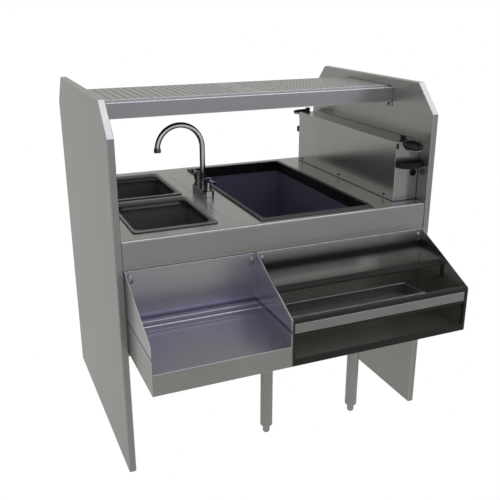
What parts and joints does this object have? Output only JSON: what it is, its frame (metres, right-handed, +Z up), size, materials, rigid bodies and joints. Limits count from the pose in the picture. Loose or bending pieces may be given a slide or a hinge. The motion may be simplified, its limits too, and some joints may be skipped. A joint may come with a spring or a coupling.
{
  "type": "bar sink station with ice bin",
  "caption": "Pass-through bar station with drop-in sinks, gooseneck faucet, insulated ice bin, perforated shelf, soda line chase, hanging tray and speed rail.",
  "frame": {"origin": "on the floor, under the centre of the bounding box", "axes": "+X to the right of someone at the front, +Y to the back, +Z up"},
  "size_m": [1.0668, 1.0852, 1.145],
  "materials": {
    "satin_steel": "satin",
    "dark_steel": "satin",
    "bowl_steel": "satin",
    "chrome": "polished",
    "steel_fastener": "plain",
    "black_plastic": "satin",
    "black_paint": "gloss",
    "liner": "satin",
    "foam": "foam",
    "rubber": "plain",
    "index_blue": "gloss",
    "index_red": "gloss"
  },
  "bodies": {
    "station": {"end_panel_left": "satin_steel", "end_panel_right": "satin_steel", "deck": "satin_steel", "shelf_frame": "satin_steel", "shelf_tabs": "satin_steel", "leg_tubes": "satin_steel", "chase_cover": "satin_steel", "deck_channels": "dark_steel", "front_panels": "dark_steel", "bin_shell": "dark_steel", "leg_sockets": "dark_steel", "chase_bracket": "dark_steel", "sink_bowl_front": "bowl_steel", "sink_bowl_back": "bowl_steel", "sink_drains": "chrome", "faucet_body": "chrome", "valve_bonnets": "chrome", "hanger_studs": "steel_fastener", "shelf_bolts": "steel_fastener", "drain_locknuts": "steel_fastener", "faucet_shanks": "steel_fastener", "shank_nuts": "steel_fastener", "bin_drain": "steel_fastener", "bin_drain_nut": "steel_fastener", "chase_screws": "steel_fastener", "drip_hooks": "steel_fastener", "bin_frame": "black_plastic", "leg_plugs": "black_plastic", "corner_clips": "black_plastic", "holder_spools": "black_plastic", "bin_liner": "liner", "bin_insulation": "foam", "hose_grommets": "rubber"},
    "spout": {"faucet_spout": "chrome", "faucet_aerator": "chrome"},
    "cold_lever": {"lever_cold": "chrome", "index_cold": "index_blue"},
    "hot_lever": {"lever_hot": "chrome", "index_hot": "index_red"},
    "front_strainer": {"strainer_front": "chrome"},
    "back_strainer": {"strainer_back": "chrome"},
    "left_shelf_insert": {"shelf_insert_left": "satin_steel"},
    "right_shelf_insert": {"shelf_insert_right": "satin_steel"},
    "hanging_tray": {"tray": "satin_steel"},
    "speed_rail": {"rail_shell": "satin_steel", "rail_frame": "black_paint", "rail_strip": "satin_steel", "rail_upper_tier": "black_paint"},
    "rail_pan": {"rail_insert": "black_paint"},
    "front_drip_tray": {"drip_tray_front": "black_plastic"},
    "back_drip_tray": {"drip_tray_back": "black_plastic"},
    "front_gun_holder": {"gun_holder_front": "black_plastic", "holder_trim_front": "chrome"},
    "back_gun_holder": {"gun_holder_back": "black_plastic", "holder_trim_back": "chrome"},
    "front_left_foot": {"foot_front_left": "steel_fastener"},
    "front_right_foot": {"foot_front_right": "steel_fastener"},
    "back_left_foot": {"foot_back_left": "steel_fastener"},
    "back_right_foot": {"foot_back_right": "steel_fastener"}
  },
  "joints": [
    {"name": "spout_swivel", "type": "hinge", "parent": "station", "child": "spout", "pos_m": [-0.12775, 0.11681, 0.793], "axis": [0, 0, 1], "continuous": true},
    {"name": "cold_valve", "type": "hinge", "parent": "station", "child": "cold_lever", "pos_m": [-0.12775, 0.06601, 0.803], "axis": [0, 0, -1], "range_deg": [0, 90]},
    {"name": "hot_valve", "type": "hinge", "parent": "station", "child": "hot_lever", "pos_m": [-0.12775, 0.16761, 0.803], "axis": [0, 0, 1], "range_deg": [0, 90]},
    {"name": "front_strainer_lift", "type": "slide", "parent": "station", "child": "front_strainer", "axis": [0, 0, 1], "range_m": [0, 0.04]},
    {"name": "back_strainer_lift", "type": "slide", "parent": "station", "child": "back_strainer", "axis": [0, 0, 1], "range_m": [0, 0.04]},
    {"name": "left_insert_lift", "type": "slide", "parent": "station", "child": "left_shelf_insert", "axis": [0, 0, 1], "range_m": [0, 0.05]},
    {"name": "right_insert_lift", "type": "slide", "parent": "station", "child": "right_shelf_insert", "axis": [0, 0, 1], "range_m": [0, 0.05]},
    {"name": "tray_lift", "type": "slide", "parent": "station", "child": "hanging_tray", "axis": [0, 0, 1], "range_m": [0, 0.013]},
    {"name": "rail_lift", "type": "slide", "parent": "station", "child": "speed_rail", "axis": [0, 0, 1], "range_m": [0, 0.013]},
    {"name": "rail_pan_lift", "type": "slide", "parent": "speed_rail", "child": "rail_pan", "axis": [0, 0, 1], "range_m": [0, 0.03]},
    {"name": "front_drip_lift", "type": "slide", "parent": "station", "child": "front_drip_tray", "axis": [0, 0, 1], "range_m": [0, 0.01]},
    {"name": "back_drip_lift", "type": "slide", "parent": "station", "child": "back_drip_tray", "axis": [0, 0, 1], "range_m": [0, 0.01]},
    {"name": "front_holder_swivel", "type": "hinge", "parent": "station", "child": "front_gun_holder", "pos_m": [0.452, -0.21989, 0.961], "axis": [0, 0, 1], "range_deg": [-25, 25]},
    {"name": "back_holder_swivel", "type": "hinge", "parent": "station", "child": "back_gun_holder", "pos_m": [0.452, 0.45351, 0.961], "axis": [0, 0, 1], "range_deg": [-25, 25]},
    {"name": "front_left_foot_screw", "type": "slide", "parent": "station", "child": "front_left_foot", "axis": [0, 0, -1], "range_m": [0, 0.02]},
    {"name": "front_right_foot_screw", "type": "slide", "parent": "station", "child": "front_right_foot", "axis": [0, 0, -1], "range_m": [0, 0.02]},
    {"name": "back_left_foot_screw", "type": "slide", "parent": "station", "child": "back_left_foot", "axis": [0, 0, -1], "range_m": [0, 0.02]},
    {"name": "back_right_foot_screw", "type": "slide", "parent": "station", "child": "back_right_foot", "axis": [0, 0, -1], "range_m": [0, 0.02]}
  ]
}
